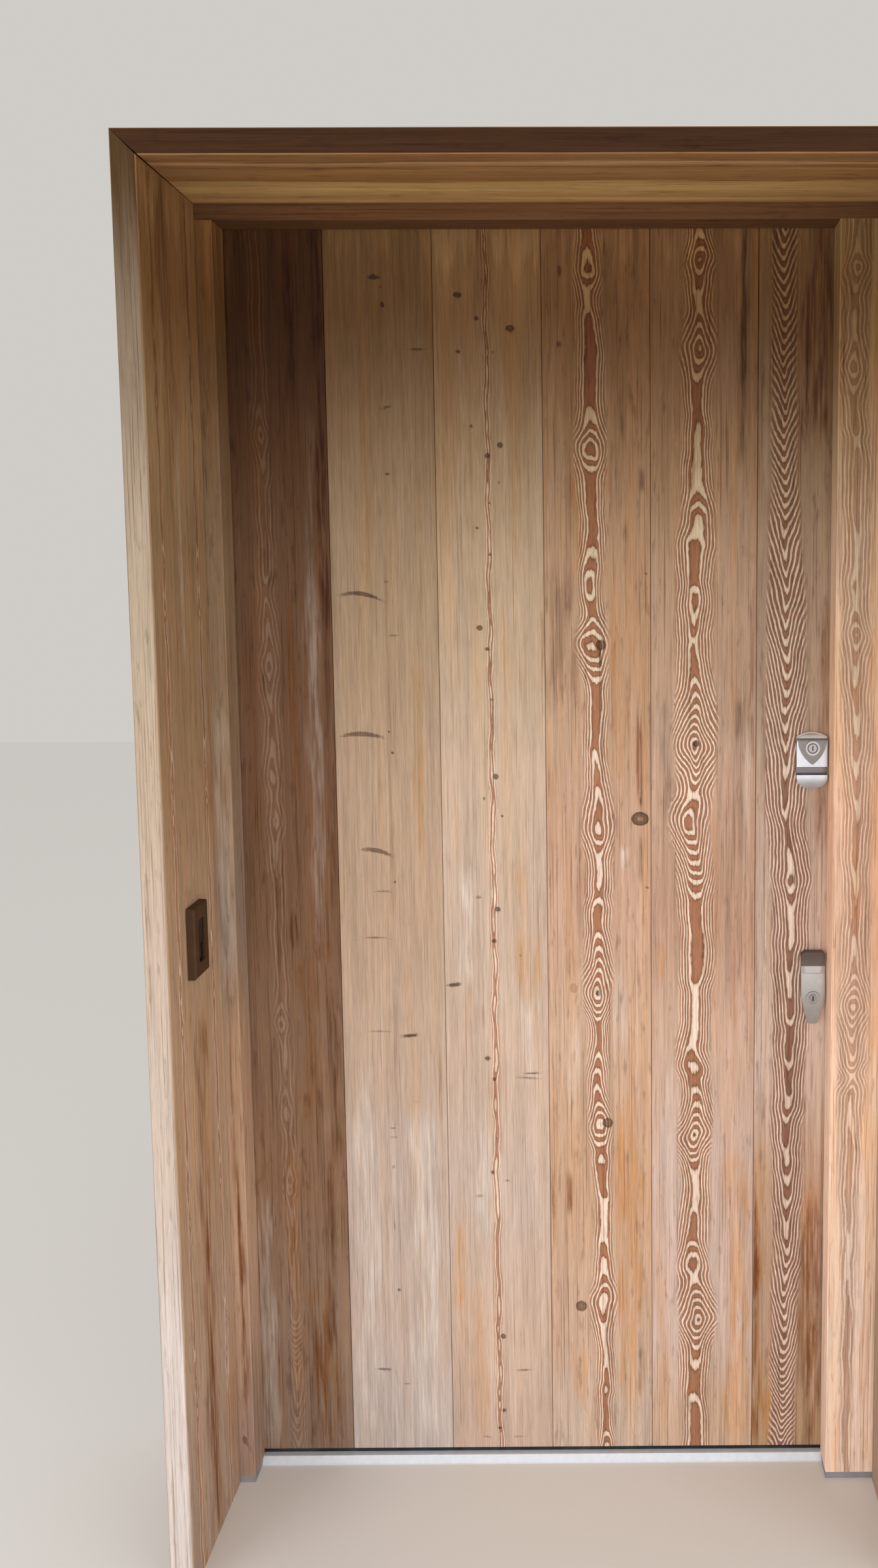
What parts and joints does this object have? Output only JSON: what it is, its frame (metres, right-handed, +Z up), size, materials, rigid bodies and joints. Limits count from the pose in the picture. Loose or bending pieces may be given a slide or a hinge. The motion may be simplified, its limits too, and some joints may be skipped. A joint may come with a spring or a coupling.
{
  "type": "timber front door",
  "caption": "Boarded timber front door in its rebated frame, with deep lining boards, aluminium threshold, night latch, mortice deadlock and a bell push.",
  "frame": {"origin": "middle of the clear opening, in the plane of the leaf's outer face, at the underside of the threshold", "axes": "+X to the right seen from the street, towards the lock side; +Y into the house; +Z up"},
  "size_m": [1.158, 0.3653, 2.165],
  "materials": {
    "frame_timber": "stained softwood, weathered",
    "lining_timber": "oiled softwood, greyed at the front",
    "board_dark": "dark stained softwood",
    "board_olive": "stained softwood with small knots",
    "board_pale": "stained softwood with small knots",
    "board_grey": "stained softwood with a cathedral figure",
    "board_amber": "stained softwood with ring knots",
    "board_chevron": "stained softwood with a regular figure",
    "leaf_framing": "planed softwood, clear finish",
    "panel_boards": "planed softwood, clear finish",
    "insulation": "stiff pressed fibre",
    "sill_pad": "light grey composite",
    "sill_aluminium": "mill finish",
    "seal_rubber": "matt black",
    "bell_moulding": "dark brown, satin",
    "bell_lens": "black, polished",
    "hinge_steel": "satin",
    "satin_chrome": "satin plated",
    "lock_steel": "zinc plated",
    "rim_enamel": "silver-grey enamel",
    "key_brass": "nickel plated"
  },
  "bodies": {
    "frame": {"bell_housing": "bell_moulding", "bell_window": "bell_lens", "casing_head": "lining_timber", "casing_left": "lining_timber", "casing_right": "lining_timber", "frame_head": "frame_timber", "frame_jamb_left": "frame_timber", "frame_jamb_right": "frame_timber", "frame_seal": "seal_rubber", "hinge_frame_flap_bottom": "hinge_steel", "hinge_frame_flap_middle": "hinge_steel", "hinge_frame_flap_top": "hinge_steel", "latch_keep": "rim_enamel", "sill_block_left": "sill_pad", "sill_block_right": "sill_pad", "strike_plate": "lock_steel", "threshold": "sill_aluminium", "threshold_seal": "seal_rubber"},
    "door": {"deadlock_case": "lock_steel", "deadlock_cylinder": "satin_chrome", "deadlock_escutcheon": "satin_chrome", "deadlock_rose": "satin_chrome", "hinge_door_flap_bottom": "hinge_steel", "hinge_door_flap_middle": "hinge_steel", "hinge_door_flap_top": "hinge_steel", "inner_boards_lower": "panel_boards", "inner_boards_upper": "panel_boards", "insulation_lower": "insulation", "insulation_upper": "insulation", "latch_case": "rim_enamel", "latch_cylinder": "satin_chrome", "latch_pull_plate": "satin_chrome", "outer_board_1": "board_dark", "outer_board_2": "board_olive", "outer_board_3": "board_pale", "outer_board_4": "board_grey", "outer_board_5": "board_amber", "outer_board_6": "board_chevron", "rail_bottom": "leaf_framing", "rail_middle": "leaf_framing", "rail_top": "leaf_framing", "stile_hinge": "leaf_framing", "stile_lock": "leaf_framing"},
    "bell_button": {"bell_button": "bell_moulding"},
    "latch_spindle": {"latch_plug": "key_brass", "latch_knob": "satin_chrome"},
    "latch_bolt": {"latch_bolt": "key_brass"},
    "latch_snib": {"latch_snib": "satin_chrome"},
    "deadlock_spindle": {"deadlock_plug": "key_brass", "deadlock_thumbturn": "satin_chrome"},
    "deadbolt": {"deadbolt": "lock_steel"}
  },
  "joints": [
    {"name": "leaf_swing", "type": "hinge", "parent": "frame", "child": "door", "pos_m": [-0.503, 0.0748, 1], "axis": [0, 0, 1], "range_deg": [0, 100]},
    {"name": "latch_turn", "type": "hinge", "parent": "door", "child": "latch_spindle", "pos_m": [0.461, 0.08, 1.265], "axis": [0, 1, 0], "range_deg": [0, 60]},
    {"name": "latch_slide", "type": "slide", "parent": "door", "child": "latch_bolt", "axis": [1, 0, 0], "range_m": [0, 0.014]},
    {"name": "snib_slide", "type": "slide", "parent": "door", "child": "latch_snib", "axis": [1, 0, 0], "range_m": [0, 0.006]},
    {"name": "deadlock_turn", "type": "hinge", "parent": "door", "child": "deadlock_spindle", "pos_m": [0.467, 0.044, 0.836], "axis": [0, 1, 0], "range_deg": [0, 60]},
    {"name": "deadbolt_slide", "type": "slide", "parent": "door", "child": "deadbolt", "axis": [1, 0, 0], "range_m": [0, 0.02]},
    {"name": "bell_press", "type": "slide", "parent": "frame", "child": "bell_button", "axis": [-1, 0, 0], "range_m": [0, 0.0015], "stiffness_N_per_m": 600}
  ],
  "couplings": [
    {"joint": "latch_slide", "follows": "latch_turn", "m_per_rad": 0.013368},
    {"joint": "deadbolt_slide", "follows": "deadlock_turn", "m_per_rad": 0.019098}
  ]
}
